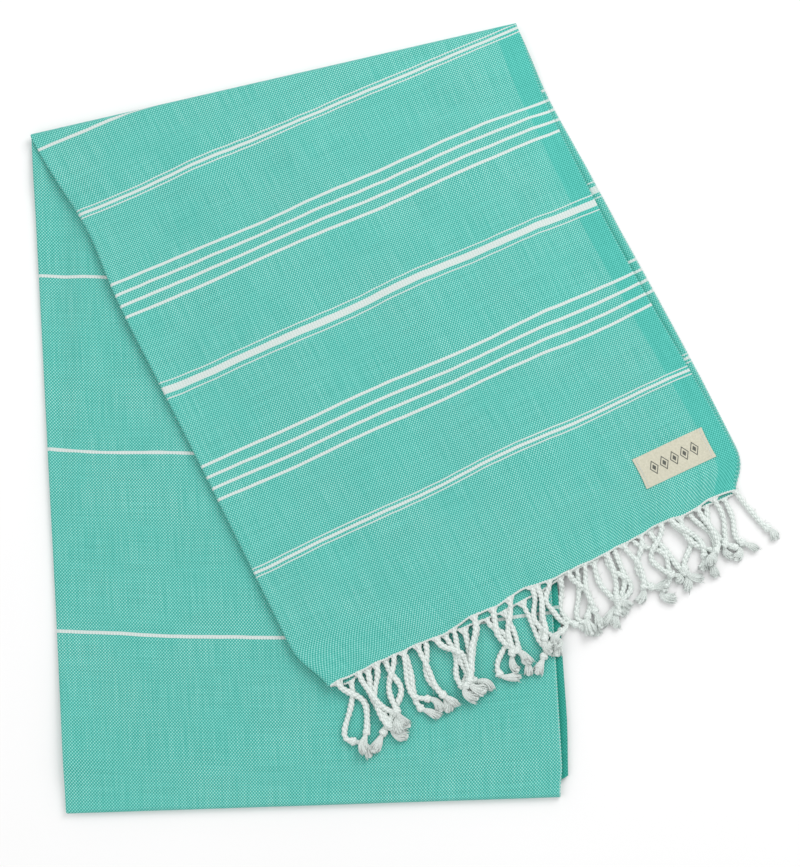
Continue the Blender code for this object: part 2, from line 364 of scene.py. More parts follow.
FLAP = Section(
    (TOP_LEFT, TOP_RIGHT),
    (HEM_LEFT, HEM_RIGHT),
    flap_middle,
    flap_steps,
    along_flap,
    shift=FLAP_UNDER_SHIFT,
    upper_side=1,
    bows=flap_bows,
)
BACK = Section(
    (TOP_LEFT, TOP_RIGHT),
    (BOTTOM_LEFT, BOTTOM_RIGHT),
    back_middle,
    back_steps,
    along_back,
    shift=BACK_UPPER_SHIFT,
    upper_side=-1,
)
TUCKED = Section(
    (BOTTOM_LEFT, BOTTOM_RIGHT),
    (TUCKED_LEFT, TUCKED_RIGHT),
    tucked_middle,
    tucked_steps,
    along_tucked,
    shift=0.0,
    upper_side=1,
    swells=False,
)


def hem_shape(s, side):
    """How far the hem stands out past its straight line: waves, and a cusp per cord."""
    cusps = 1.0 * MM * np.abs(np.sin(math.pi * HEM_CUSPS * s)) ** 0.6
    wide = 2.6 * MM * HEM_WAVES(s * 0.46 + 0.3 * side, 0.1 + 0 * s)
    drop = 0.0 if side > 0 else 1.5 * MM + 5.5 * MM * bump(s, 0.42, 0.17)
    return wide - cusps + drop


def shape_hem(flat, lift, s, u, v):
    """Moves the points near the hem in and out, and raises flutes in it."""
    out = (HEM_LEFT - TOP_LEFT) + s[:, None] * ((HEM_RIGHT - TOP_RIGHT) - (HEM_LEFT - TOP_LEFT))
    out /= np.linalg.norm(out, axis=1)[:, None]
    upper = u >= 0
    shape = np.where(upper, hem_shape(s, 1), hem_shape(s, -1))
    near_hem = bump(v / 40 / MM, 0.0, 0.55) * smooth(np.abs(u), 4 * MM, 18 * MM)
    flute = (1 + np.sin(s * 61 + 0.8 * np.sin(s * 17))) * 0.7 * MM
    part = 0.5 * MM * (1 + np.sin(s * 37 + 1)) * upper
    rise = (flute + part) * bump(v / 45 / MM, 0.0, 0.7)
    return flat + out * (shape * near_hem)[:, None], lift + rise


def section_row(section, t):
    """One row of points with the cut's (u, v) for each."""
    flat, u, loft, lift, width = section.row(t)
    left, _ = section.sides(t)
    s = np.linalg.norm(flat - left, axis=1) / width
    v = section.along(s, t) - section.shift * s * (u < 0)
    if section is FLAP:
        flat, lift = shape_hem(flat, lift, s, u, v)
    x, y = flat[:, 0], flat[:, 1]
    z = section.middle(x, y) + lift + loft * section.upper_side
    wobble = 1.5 * MM * DRIFT(x * 1.3, y * 1.3)
    return np.column_stack([flat, z]), np.column_stack([u, v + wobble * loose(x, y)])


def fold_row(section, following, share, height, out):
    """A row on a fold's round edge, at this share of the turn to the following section."""
    fold_t = 0.0 if section is FLAP else 1.0
    flat, u, loft, _, width = section.row(fold_t)
    left, _ = section.sides(fold_t)
    s = np.linalg.norm(flat - left, axis=1) / width
    angle = math.pi * share
    bend = FOLD_BEND + loft * section.upper_side
    move = math.sin(angle) * bend
    place = np.column_stack([flat + out * move[:, None], height + math.cos(angle) * bend])
    before = section.along(s, fold_t) - section.shift * s * (u < 0)
    after = following.along(s, 0.0) - following.shift * s * (u < 0)
    return place, np.column_stack([u, before + (after - before) * share])


def shares_of(length, fine_start, fine_end, step):
    """Shares along a section with close rows near an end that needs them."""
    places = [0.0]
    while places[-1] < length:
        place = places[-1]
        near = min(place if fine_start else length, length - place if fine_end else length)
        places.append(place + step * min(1.0, 0.35 + near / (40 * MM)))
    places = np.array(places)
    return places / places[-1]


def strip_share(section):
    """The share of a section that belongs to the strip at a fold."""
    return STRIP / np.linalg.norm(section.end[0] - section.start[0])


def strip_rows(section, following, before, height, out):
    """The rows of the strip round a fold: before it, round it and after it."""
    rows = [section_row(section, t) for t in before]
    for share in np.linspace(0, 1, FOLD_ROWS):
        rows.append(fold_row(section, following, share, height, out))
    after = strip_share(following)
    return rows + [section_row(following, after * k) for k in (*NEAR_FOLD, 1.0)]


def cloth_rows():
    """Every row of the cloth, and the first and last row of each of its five pieces."""
    flap_end, back_end, tucked_end = (strip_share(section) for section in (FLAP, BACK, TUCKED))
    before_top = [flap_end * k for k in reversed(NEAR_FOLD)]
    before_bottom = [1 - back_end * k for k in reversed(NEAR_FOLD)]
    flap_t = 1 - shares_of(0.56, True, False, ROW_STEP) * (1 - flap_end)
    back_t = back_end + (1 - 2 * back_end) * shares_of(0.65, False, True, ROW_STEP)[1:]
    tucked_t = tucked_end + (1 - tucked_end) * shares_of(0.58, True, False, TUCKED_ROW_STEP)[1:]
    stretches = {
        "flap": [section_row(FLAP, t) for t in flap_t],
        "top": strip_rows(FLAP, BACK, before_top, TOP_HEIGHT, TOP_OUT),
        "back": [section_row(BACK, t) for t in back_t],
        "bottom": strip_rows(BACK, TUCKED, before_bottom, BOTTOM_HEIGHT, BOTTOM_OUT),
        "tucked": [section_row(TUCKED, t) for t in tucked_t],
    }
    rows, marks = [], {}
    for name, stretch in stretches.items():
        first = max(len(rows) - 1, 0)
        rows += stretch
        marks[name] = (first, len(rows) - 1)
    places = np.array([place for place, _ in rows])
    cuts = np.array([cut for _, cut in rows])
    return places, cuts, marks


def grid_normals(places):
    """Unit normals of the grid, pointing out of the upper layer's face."""
    down = np.gradient(places, axis=0)
    over = np.gradient(places, axis=1)
    normals = np.cross(over, down)
    return normals / np.linalg.norm(normals, axis=2)[:, :, None]


def mesh_from(name, vertices, quads, uv=None, normals=None):
    """A mesh of quads; uv and normals are given for each vertex."""
    mesh = bpy.data.meshes.new(name)
    mesh.vertices.add(len(vertices))
    mesh.vertices.foreach_set("co", vertices.astype(np.float32).ravel())
    mesh.loops.add(quads.size)
    mesh.loops.foreach_set("vertex_index", quads.astype(np.int32).ravel())
    mesh.polygons.add(len(quads))
    mesh.polygons.foreach_set("loop_start", np.arange(0, quads.size, 4, dtype=np.int32))
    mesh.update(calc_edges=True)
    mesh.validate()
    mesh.polygons.foreach_set("use_smooth", np.ones(len(mesh.polygons), bool))
    if uv is not None:
        layer = mesh.uv_layers.new(name="cloth")
        layer.data.foreach_set("uv", uv[quads.ravel()].astype(np.float32).ravel())
    if normals is not None:
        mesh.normals_split_custom_set(normals.reshape(-1, 3).tolist())
    return mesh


def add_piece(name, mesh, material):
    mesh.materials.append(material)
    obj = bpy.data.objects.new(name, mesh)
    bpy.context.scene.collection.objects.link(obj)
    return obj


def cloth_piece(name, rows, places, normals, cuts, material):
    """The rows of the grid as cloth with a thickness, closed all round by its rim."""
    first, last = rows
    middle, normal, cut = (grid[first : last + 1] for grid in (places, normals, cuts))
    count, width = middle.shape[:2]
    total = count * width
    out = normal * THICKNESS / 2
    vertices = np.concatenate([(middle + out).reshape(-1, 3), (middle - out).reshape(-1, 3)])
    index = np.arange(total).reshape(count, width)
    a, b, c, d = index[:-1, :-1], index[:-1, 1:], index[1:, 1:], index[1:, :-1]
    upper = np.stack([a, b, c, d], axis=-1).reshape(-1, 4)
    lower = upper[:, ::-1] + total
    rims = []
    for line in (index[::-1, 0], index[:, -1], index[0], index[-1, ::-1]):
        one, two = line[:-1], line[1:]
        rims.append(np.stack([two, one, one + total, two + total], axis=-1))
    rim = np.concatenate(rims)
    quads = np.concatenate([upper, lower, rim])
    flat_normal = normal.reshape(-1, 3)
    corner_normals = np.concatenate([flat_normal, -flat_normal])[quads]
    edges = vertices[rim[:, 1]] - vertices[rim[:, 0]], vertices[rim[:, 3]] - vertices[rim[:, 0]]
    face = np.cross(*edges)
    face /= np.maximum(np.linalg.norm(face, axis=1), 1e-12)[:, None]
    corner_normals[-len(rim) :] = face[:, None, :]
    uv = np.concatenate([cut.reshape(-1, 2)] * 2)
    mesh = mesh_from(name, vertices, quads, uv, corner_normals)
    # The inner face is marked with 1, so that the cloth's colour can take painted shade there.
    inside = mesh.attributes.new("inside", "FLOAT", "POINT")
    inside.data.foreach_set("value", np.repeat([0.0, 1.0], total))
    return add_piece(name, mesh, material)


# ---------------------------------------------------------------- materials


class Shader:
    """A Principled material with short ways to add nodes."""

    def __init__(self, name):
        self.material = bpy.data.materials.new(name)
        self.material.use_nodes = True
        self.nodes = self.material.node_tree.nodes
        self.links = self.material.node_tree.links
        self.surface = self.nodes["Principled BSDF"]

    def set(self, **values):
        for name, value in values.items():
            self.surface.inputs[name.replace("_", " ")].default_value = value

    def plug(self, value, socket):
        if isinstance(value, bpy.types.NodeSocket):
            self.links.new(value, socket)
        else:
            socket.default_value = value

    def math(self, operation, *values, clamp=False):
        node = self.nodes.new("ShaderNodeMath")
        node.operation = operation
        node.use_clamp = clamp
        for value, socket in zip(values, node.inputs, strict=False):
            self.plug(value, socket)
        return node.outputs[0]

    def plus(self, a, b):
        return self.math("ADD", a, b)

    def minus(self, a, b):
        return self.math("SUBTRACT", a, b)

    def times(self, a, b):
        return self.math("MULTIPLY", a, b)

    def mix(self, factor, a, b, blend="MIX"):
        node = self.nodes.new("ShaderNodeMix")
        node.data_type = "RGBA"
        node.blend_type = blend
        self.plug(factor, node.inputs[0])
        for value, socket in ((a, node.inputs[6]), (b, node.inputs[7])):
            self.plug((*value, 1.0) if isinstance(value, tuple) else value, socket)
        return node.outputs[2]

    def smooth(self, value, low, high, to_low=0.0, to_high=1.0):
        node = self.nodes.new("ShaderNodeMapRange")
        node.interpolation_type = "SMOOTHSTEP"
        for number, item in enumerate((value, low, high, to_low, to_high)):
            self.plug(item, node.inputs[number])
        return node.outputs[0]

    def cut(self):
        node = self.nodes.new("ShaderNodeUVMap")
        node.uv_map = "cloth"
        split = self.nodes.new("ShaderNodeSeparateXYZ")
        self.links.new(node.outputs[0], split.inputs[0])
        return split.outputs[0], split.outputs[1]

    def noise(self, x, y, detail=2.0, scale=1.0):
        join = self.nodes.new("ShaderNodeCombineXYZ")
        self.plug(x, join.inputs[0])
        self.plug(y, join.inputs[1])
        node = self.nodes.new("ShaderNodeTexNoise")
        self.links.new(join.outputs[0], node.inputs["Vector"])
        node.inputs["Scale"].default_value = scale
        node.inputs["Detail"].default_value = detail
        return node.outputs[0]

    def bump(self, height, distance):
        node = self.nodes.new("ShaderNodeBump")
        node.inputs["Distance"].default_value = distance
        node.inputs["Strength"].default_value = 1.0
        self.plug(height, node.inputs["Height"])
        self.links.new(node.outputs[0], self.surface.inputs["Normal"])


TEAL_LIGHT = (0.190, 0.706, 0.624)
TEAL_DEEP = (0.008, 0.245, 0.195)
EDGE_LIGHT = (0.136, 0.655, 0.575)
# Painted shade: the colour the inner face is multiplied towards, standing in for the shadow of the
# layer above.
INSIDE_PAINTED_SHADE = (0.20, 0.60, 0.54)
WARP_WHITE = (0.78, 0.84, 0.81)
WEFT_WHITE = (0.640, 0.715, 0.690)
# Painted shade for the grooves where the white weft dips between warp threads.
WEFT_GROOVE_SHADE = (0.560, 0.650, 0.620)

WARP_PITCH, WEFT_PITCH = 1.38 * MM, 1.50 * MM
LINE = 2.8 * MM
THIN_LINE = 1.15 * MM
BAND = 7.0 * MM


def triple(centre):
    return [(centre, LINE), (centre - 4.4 * MM, THIN_LINE), (centre + 4.4 * MM, THIN_LINE)]


def four(start, pitch):
    return [(start + pitch * k, LINE) for k in range(4)]


# The white weft stripes, as (distance from the nearer hem, width).
STRIPES = [
    *triple(0.125),
    *four(0.200, 12 * MM),
    (0.318, BAND),
    (0.318 - 8.2 * MM, THIN_LINE),
    (0.318 + 8.2 * MM, THIN_LINE),
    *four(0.3985, 11.5 * MM),
    *triple(0.514),
    (0.590, LINE + 0.3 * MM),
    (0.761, LINE + 0.3 * MM),
    (CLOTH_LENGTH / 2, LINE + 0.3 * MM),
]


def towel_cloth():
    """Teal weft over a white warp, with white weft stripes, plain teal selvedges and painted shade on
    the inner face.
    """
    s = Shader("towel_cloth")
    u, v = s.cut()
    wander = s.times(s.minus(s.noise(u, v, 1.0, 45.0), 0.5), 1.2 * MM)
    far = s.minus(CLOTH_LENGTH, v)
    hem = s.plus(s.math("MINIMUM", v, far), wander)
    stripe = None
    for centre, width in STRIPES:
        away = s.math("ABSOLUTE", s.minus(hem, centre))
        line = s.smooth(away, width / 2 + 0.25 * MM, width / 2 - 0.25 * MM)
        stripe = line if stripe is None else s.math("MAXIMUM", stripe, line)

    reach = s.math("ABSOLUTE", u)
    wobble = s.times(s.minus(s.noise(u, v, 2.0, 260.0), 0.5), 0.55)
    warp = s.math("SINE", s.plus(s.times(u, math.pi / WARP_PITCH), wobble))
    weft = s.math("SINE", s.plus(s.times(v, math.pi / WEFT_PITCH), wobble))
    weave = s.times(warp, weft)

    streak_v = s.noise(s.times(u, 700.0), s.times(v, 22.0), 2.0)
    streak_u = s.noise(s.times(u, 18.0), s.times(v, 650.0), 2.0)
    patch = s.noise(u, v, 3.0, 14.0)
    uneven = s.plus(s.times(streak_v, 0.55), s.times(patch, 0.45))
    band = s.smooth(reach, HALF_WIDTH - SELVEDGE - 1 * MM, HALF_WIDTH - SELVEDGE + 1 * MM)
    edge = s.times(band, s.smooth(u, 0.0, 0.1, 0.05, 0.9))
    limit = s.plus(s.times(uneven, -0.9), 1.08)
    fleck = s.smooth(weave, limit, s.plus(limit, 0.4))
    fleck = s.times(fleck, s.minus(1.0, edge))

    drift = s.times(s.minus(s.plus(streak_u, streak_v), 1.0), 0.30)
    tone = s.plus(s.times(weave, 0.50), s.plus(drift, 0.5))
    light = s.mix(edge, TEAL_LIGHT, EDGE_LIGHT)
    ground = s.mix(s.math("ADD", tone, 0.0, clamp=True), TEAL_DEEP, light)
    ground = s.mix(s.times(fleck, 0.8), ground, WARP_WHITE)
    very_edge = s.smooth(reach, HALF_WIDTH - 1.6 * MM, HALF_WIDTH - 0.8 * MM)
    dash = s.times(s.smooth(weft, 0.1, 0.5), very_edge)
    ground = s.mix(s.times(dash, s.smooth(u, 0.0, 0.1, 0.5, 0.15)), ground, WARP_WHITE)
    # The white stripes darken between warp threads: painted shade in the grooves.
    white = s.mix(s.smooth(warp, -1.0, 1.0), WEFT_GROOVE_SHADE, WEFT_WHITE)
    colour = s.mix(stripe, ground, white)
    # Painted shade on the inner face, standing in for the shadow of the layer above. It is strongest
    # from 9 mm in from the selvedge and weakest at the selvedge itself. It is weaker near the front
    # hem and on the white stripes, and stronger over the back section.
    inside = s.nodes.new("ShaderNodeAttribute")
    inside.attribute_name = "inside"
    not_stripe = s.minus(1.0, s.times(stripe, 0.6))
    near_edge = s.smooth(reach, HALF_WIDTH - 9 * MM, HALF_WIDTH - 2 * MM, 0.70, 0.15)
    depth = s.plus(near_edge, s.smooth(v, 0.60, 0.65, 0.0, 0.60))
    near_hem = s.smooth(v, 2 * MM, 14 * MM, 0.5, 1.0)
    depth = s.times(s.times(depth, near_hem), not_stripe)
    painted_shade = s.times(inside.outputs["Fac"], depth)
    colour = s.mix(painted_shade, colour, INSIDE_PAINTED_SHADE, blend="MULTIPLY")
    s.links.new(colour, s.surface.inputs["Base Color"])

    ribs = s.math("ABSOLUTE", weft)
    height = s.plus(s.times(weave, 0.6), s.times(ribs, 0.4))
    raised = s.plus(height, s.times(stripe, 0.5))
    s.bump(s.plus(raised, s.times(uneven, 0.6)), 0.28 * MM)
    s.plug(s.plus(0.86, s.times(uneven, 0.1)), s.surface.inputs["Roughness"])
    s.set(Sheen_Weight=0.18, Sheen_Roughness=0.45, Specular_IOR_Level=0.25)
    s.surface.inputs["Sheen Tint"].default_value = (0.75, 1.0, 0.96, 1.0)
    return s.material


def yarn_cotton():
    """White plied cotton, ribbed by the twist of its yarns."""
    s = Shader("yarn_cotton")
    u, v = s.cut()
    turns = s.plus(s.times(u, 2 * math.pi * 3), s.times(v, 2 * math.pi / (2.6 * MM)))
    twist = s.math("SINE", turns)
    fuzz = s.noise(s.times(u, 30.0), s.times(v, 900.0), 3.0)
    tone = s.plus(s.times(twist, 0.25), fuzz)
    colour = s.mix(s.smooth(tone, 0.1, 0.9), (0.600, 0.665, 0.632), (0.825, 0.880, 0.852))
    s.links.new(colour, s.surface.inputs["Base Color"])
    s.bump(s.plus(twist, fuzz), 0.12 * MM)
    s.plug(s.smooth(fuzz, 0.0, 1.0, 0.82, 0.95), s.surface.inputs["Roughness"])
    s.set(Sheen_Weight=0.35, Sheen_Roughness=0.5, Specular_IOR_Level=0.2)
    return s.material


def label_tape():
    """Ivory tape, finely ribbed, with a woven row of five lozenges."""
    s = Shader("label_tape")
    u, v = s.cut()
    across = s.math("ABSOLUTE", v)
    along = s.math("ABSOLUTE", u)
    pitch = 10.5 * MM
    cell = s.minus(s.math("FRACT", s.plus(s.math("DIVIDE", u, pitch), 0.5)), 0.5)
    offset = s.times(s.math("ABSOLUTE", cell), pitch)
    shape = s.plus(s.times(across, 0.62), offset)
    inside = s.math("LESS_THAN", along, 2.5 * pitch)
    ring = s.math("COMPARE", shape, 4.0 * MM, 0.5 * MM)
    core = s.math("LESS_THAN", shape, 2.0 * MM)
    ink = s.times(s.math("MAXIMUM", ring, core), inside)
    ribs = s.math("SINE", s.times(u, 2 * math.pi / (0.55 * MM)))
    rows = s.math("SINE", s.times(v, 2 * math.pi / (0.5 * MM)))
    grain = s.noise(u, v, 3.0, 500.0)
    tone = s.plus(s.times(ribs, 0.12), grain)
    base = s.mix(s.smooth(tone, 0.2, 0.8), (0.53, 0.515, 0.40), (0.64, 0.62, 0.50))
    colour = s.mix(s.times(ink, 0.9), base, (0.045, 0.055, 0.05))
    s.links.new(colour, s.surface.inputs["Base Color"])
    relief = s.plus(s.times(s.times(ribs, rows), 0.6), s.times(ink, 0.8))
    s.bump(s.plus(relief, grain), 0.07 * MM)
    s.plug(s.smooth(grain, 0.2, 0.8, 0.55, 0.75), s.surface.inputs["Roughness"])
    s.set(Sheen_Weight=0.1, Specular_IOR_Level=0.35)
    return s.material


def floor_paper():
    s = Shader("floor_paper")
    place = s.nodes.new("ShaderNodeTexCoord")
    split = s.nodes.new("ShaderNodeSeparateXYZ")
    s.links.new(place.outputs["Object"], split.inputs[0])
    grain = s.noise(split.outputs[0], split.outputs[1], 2.0, 3.0)
    colour = s.mix(grain, (0.86, 0.86, 0.86), (0.90, 0.90, 0.90))
    s.links.new(colour, s.surface.inputs["Base Color"])
    s.set(Roughness=0.9, Specular_IOR_Level=0.1)
    return s.material


# ---------------------------------------------------------------- yarn work


class Yarns:
    """Collects round tubes into one mesh."""

    def __init__(self):
        self.vertices, self.quads, self.uv, self.count = [], [], [], 0

    def add(self, path, radius, sides=6, flat=1.0):
        """A tube along path; radius is one number or one for each point."""
        path = np.asarray(path, float)
        radius = np.broadcast_to(radius, len(path)).copy()
        radius[-1] *= 0.35
        tangent = np.gradient(path, axis=0)
        tangent /= np.maximum(np.linalg.norm(tangent, axis=1), 1e-12)[:, None]
        up = np.array([0.0, 0.0, 1.0])
        side = np.cross(tangent, up)
        weak = np.linalg.norm(side, axis=1) < 1e-3
        side[weak] = np.cross(tangent[weak], [1.0, 0.0, 0.0])
        side /= np.linalg.norm(side, axis=1)[:, None]
        for k in range(1, len(side)):
            if side[k] @ side[k - 1] < 0:
                side[k] = -side[k]
        top = np.cross(side, tangent)
        angles = np.linspace(0, 2 * math.pi, sides, endpoint=False)
        ring = (
            side[:, None, :] * np.cos(angles)[None, :, None]
            + top[:, None, :] * np.sin(angles)[None, :, None] * flat
        )
        points = path[:, None, :] + ring * radius[:, None, None]
        run = distances(path)
        uv = np.stack(np.meshgrid(run, angles / (2 * math.pi), indexing="ij")[::-1], axis=-1)
        index = self.count + np.arange(len(path) * sides).reshape(len(path), sides)
        a, b = index[:-1], index[1:]
        quads = np.stack([a, np.roll(a, -1, 1), np.roll(b, -1, 1), b], axis=-1).reshape(-1, 4)
        self.vertices.append(points.reshape(-1, 3))
        self.uv.append(uv.reshape(-1, 2))
        self.quads.append(quads[:, ::-1])
        self.count += len(path) * sides

    def mesh(self, name):
        vertices, uv = np.concatenate(self.vertices), np.concatenate(self.uv)
        vertices[:, 2] = np.maximum(vertices[:, 2], 0.05 * MM)
        return mesh_from(name, vertices, np.concatenate(self.quads), uv)


def resample(points, step):
    """The same route at even steps, on a smooth curve through its points."""
    points = np.asarray(points, float)
    run = distances(points)
    even = np.linspace(0, run[-1], max(4, int(run[-1] / step)))
    for _ in range(2):
        fine = np.column_stack([np.interp(even, run, points[:, k]) for k in range(3)])
        kernel = np.array([1, 2, 3, 2, 1]) / 9
        padded = np.pad(fine, ((2, 2), (0, 0)), mode="reflect", reflect_type="odd")
        fine = np.column_stack([np.convolve(padded[:, k], kernel, "valid") for k in range(3)])
        points, run = fine, distances(fine)
        even = np.linspace(0, run[-1], max(4, int(run[-1] / step)))
    return points


def frames(path):
    tangent = np.gradient(path, axis=0)
    tangent /= np.linalg.norm(tangent, axis=1)[:, None]
    side = np.cross(tangent, [0.0, 0.0, 1.0])
    side /= np.maximum(np.linalg.norm(side, axis=1), 1e-9)[:, None]
    return tangent, side, np.cross(side, tangent)


def ply(yarns, path, twist_radius, strand_radius, pitch, phase=0.0, sides=7):
    """Twists two strands round a path."""
    _, side, top = frames(path)
    run = distances(path)
    for k in range(2):
        angle = phase + 2 * math.pi * (run / pitch + k / 2)
        offset = side * np.cos(angle)[:, None] + top * np.sin(angle)[:, None]
        twist = np.broadcast_to(twist_radius, len(path))[:, None]
        yarns.add(path + offset * twist, strand_radius, sides)


ROOT_YARNS = 9
STRAY_FIBRES = 7
BRUSH_HAIRS = 28


def gathered_root(yarns, cord, chance, along, room):
    """The warp ends that gather from the hem into the cord, within the room beside it."""
    spread = chance.uniform(3.6, 6.4) * MM
    reach = chance.randint(5, 9)
    for k in range(ROOT_YARNS):
        place = (2 * k / (ROOT_YARNS - 1) - 1) * chance.uniform(0.8, 1.0) * spread
        place = min(max(place, -room[0]), room[1])
        start = cord[0] + along * place
        end = cord[min(reach, len(cord) - 1)]
        middle = (start + end) / 2 + along * place * 0.1
        t = np.linspace(0, 1, 6)[:, None]
        curve = (1 - t) ** 2 * start + 2 * t * (1 - t) * middle + t**2 * end
        yarns.add(curve, 0.75 * MM, 5)


def stray_fibres(yarns, cord, chance):
    """Thin loose fibres that stand off a cord."""
    tangent, side, top = frames(cord)
    t = np.linspace(0, 1, 6)[:, None]
    for _ in range(STRAY_FIBRES):
        at = chance.randrange(4, len(cord) - 2)
        length = chance.uniform(3, 7) * MM
        away = side[at] * chance.choice((-1, 1)) * chance.uniform(0.4, 1.0)
        curl = tangent[at] * chance.uniform(-1, 1)
        rise = top[at] * chance.uniform(0.0, 0.4)
        yarns.add(cord[at] + length * (away * t**0.8 + curl * t**2 + rise * t), 0.14 * MM, 4)


def knot(yarns, path, centre, chance):
    """A strand wound round the cord over a thicker middle."""
    tangent, side, top = (axes[centre] for axes in frames(path))
    points = 26
    turn = np.linspace(0, 2 * math.pi * 1.7, points)
    lead = np.linspace(-2.0, 2.2, points) * MM
    tilt = chance.uniform(0.25, 0.6) * MM
    swell = np.sin(np.linspace(0.35, math.pi - 0.35, points)) ** 0.35
    reach = chance.uniform(2.2, 2.9) * MM * swell
    phase = chance.uniform(0, 6.28)
    loop = (
        path[centre]
        + tangent * (lead + tilt * np.sin(turn * 2))[:, None]
        + side * (reach * np.cos(turn + phase))[:, None]
        + top * (reach * np.sin(turn + phase) * 0.85)[:, None]
    )
    yarns.add(loop, 1.55 * MM, 8)
    bow = path[centre] + side * chance.uniform(-1, 1) * 0.9 * MM
    bulge = np.array([bow + tangent * d * MM for d in (-3.6, -1.8, 0, 1.8, 3.8)])
    yarns.add(bulge, np.array([1.7, 3.0, 3.5, 2.9, 1.7]) * MM, 8)


def brush(yarns, tail, chance):
    """The loose ends past the knot: a soft core with strands round it."""
    _, side, top = frames(tail)
    share = np.linspace(0, 1, len(tail))
    spread = chance.uniform(4.0, 6.2) * MM
    turn = chance.uniform(-0.4, 0.4)
    drift = side * (turn * share**2 * 12 * MM)[:, None]
    middle = tail + drift
    core = (1.6 * MM + (spread * 0.72 - 1.6 * MM) * smooth(share, 0, 0.6)) * (1 - 0.5 * share**3)
    yarns.add(middle[:-1], core[:-1], 8, flat=0.52)
    for k in range(BRUSH_HAIRS):
        angle = 2 * math.pi * k / BRUSH_HAIRS + chance.uniform(-0.3, 0.3)
        depth = math.sqrt((k * 0.618) % 1.0)
        fan = spread * (0.35 + 0.65 * depth)
        wave = chance.uniform(0.15, 0.6) * MM
        open_up = 1.1 * MM + (fan - 1.1 * MM) * smooth(share, 0.0, 0.8)
        wiggle = wave * np.sin(share * chance.uniform(4, 9) + chance.uniform(0, 6.28)) * share
        hair = (
            middle
            + side * (math.cos(angle) * open_up + wiggle)[:, None]
            + top * (math.sin(angle) * open_up * 0.5)[:, None]
        )
        keep = max(5, int(len(hair) * chance.uniform(0.74, 1.0)))
        yarns.add(hair[:keep:2], chance.uniform(0.48, 0.70) * MM, 5)
    for _ in range(5):
        angle = chance.uniform(0, 2 * math.pi)
        stray = share[:, None] ** 1.5 * chance.uniform(3.5, 6.5) * MM
        hair = middle + side * math.cos(angle) * stray + top * abs(math.sin(angle)) * stray * 0.5
        yarns.add(hair[::2], 0.16 * MM, 4)


def tassel(yarns, route, chance, hem_direction, room=(1.0, 1.0)):
    """A gathered root, a plied cord, a knot and a brush of loose ends."""
    path = resample(route, 0.9 * MM)
    run = distances(path)
    knot_at = run[-1] * chance.uniform(0.70, 0.77)
    cord = path[run <= knot_at + 1 * MM]
    cord_run = run[run <= knot_at + 1 * MM]
    root = smooth(cord_run, 0, 7 * MM)
    size = chance.uniform(1.06, 1.26)
    uneven = 1 + 0.07 * np.sin(cord_run / (3.1 * MM) + chance.uniform(0, 6.28))
    twist = (0.45 + 0.55 * root) * 0.94 * MM * size * uneven
    strand = (0.7 + 0.3 * root) * 1.56 * MM * size * uneven
    pitch = chance.uniform(8.4, 10.4) * MM
    ply(yarns, cord, twist, strand, pitch, chance.uniform(0, 6.28), sides=8)
    gathered_root(yarns, cord, chance, np.array([*hem_direction, 0.0]), room)
    stray_fibres(yarns, cord, chance)
    centre = min(int(np.searchsorted(run, knot_at)), len(path) - 8)
    knot(yarns, path, centre, chance)
    brush(yarns, path[centre:], chance)


# ---------------------------------------------------------------- building


def make_cloth(material):
    places, cuts, marks = cloth_rows()
    normals = grid_normals(places)
    if normals[5, -20][2] < 0:
        normals = -normals
    pieces = {}
    for key, name in (
        ("flap", "flap_cloth"),
        ("top", "top_fold_cloth"),
        ("back", "back_cloth"),
        ("bottom", "bottom_fold_cloth"),
        ("tucked", "tucked_cloth"),
    ):
        pieces[key] = cloth_piece(name, marks[key], places, normals, cuts, material)
    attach(pieces["flap"], "flap_section")
    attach(pieces["back"], "back_section")
    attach(pieces["tucked"], "tucked_section")
    for section in ("flap", "back", "tucked"):
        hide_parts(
            f"{section}_under_layer", f"{section}_upper_layer", f"{section}_side_fold"
        )
    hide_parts("top_fold")
    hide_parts("bottom_fold")
    for key, bodies, height in (
        ("top", ("back_section", "flap_section"), TOP_HEIGHT),
        ("bottom", ("tucked_section", "back_section"), BOTTOM_HEIGHT),
    ):
        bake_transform(pieces[key])
    return pieces, places


def surface_tree(obj):
    mesh = obj.data
    return BVHTree.FromPolygons([v.co for v in mesh.vertices], [p.vertices for p in mesh.polygons])


DOWN = Vector((0, 0, -1))
ABOVE_ALL = 0.2


def top_of(tree, x, y):
    """The height of the surface at a place, or of the floor where it has none."""
    hit = tree.ray_cast(Vector((x, y, ABOVE_ALL)), DOWN)[0]
    return 0.0 if hit is None else max(0.0, hit.z)


CORD_RADIUS = 2.8 * MM
BRUSH_RADIUS = 3.4 * MM
CONTACT = 3.8 * MM
HIGHEST_LIFT = 6 * MM


def lay(path, laid, tree):
    """Rests a cord on the cloth, on the floor and on the cords laid before it."""
    share = np.linspace(0, 1, len(path))
    radius = CORD_RADIUS + (BRUSH_RADIUS - CORD_RADIUS) * smooth(share, 0.6, 0.8) + 0.2 * MM
    surface = np.array([top_of(tree, x, y) for x, y, _ in path]) + radius
    lowest = surface.copy()
    if laid:
        others = np.concatenate(laid)
        apart = np.linalg.norm(path[:, None, :2] - others[None, :, :2], axis=2)
        over = others[None, :, 2] + np.sqrt(np.maximum(CONTACT**2 - apart**2, 0))
        lowest = np.maximum(lowest, np.where(apart < CONTACT, over, 0).max(axis=1))
        lowest = np.minimum(lowest, surface + HIGHEST_LIFT)
    for _ in range(4):
        padded = np.pad(lowest, 1, mode="edge")
        lowest = np.maximum(surface, (padded[:-2] + 2 * padded[1:-1] + padded[2:]) / 4)
    hang = 1 - smooth(share, 0.0, 0.22)
    path[:, 2] = lowest + (path[0, 2] - lowest) * hang
    return path


def cad_route(name, root, direction):
    """A tassel's middle line, read from its CAD node."""
    points = node_points(name)
    far = (points[:, :2] - root) @ direction
    groups = np.array_split(points[np.argsort(far)], 11)
    return np.array([g.mean(axis=0) for g in groups])


GATHER = 40 * MM


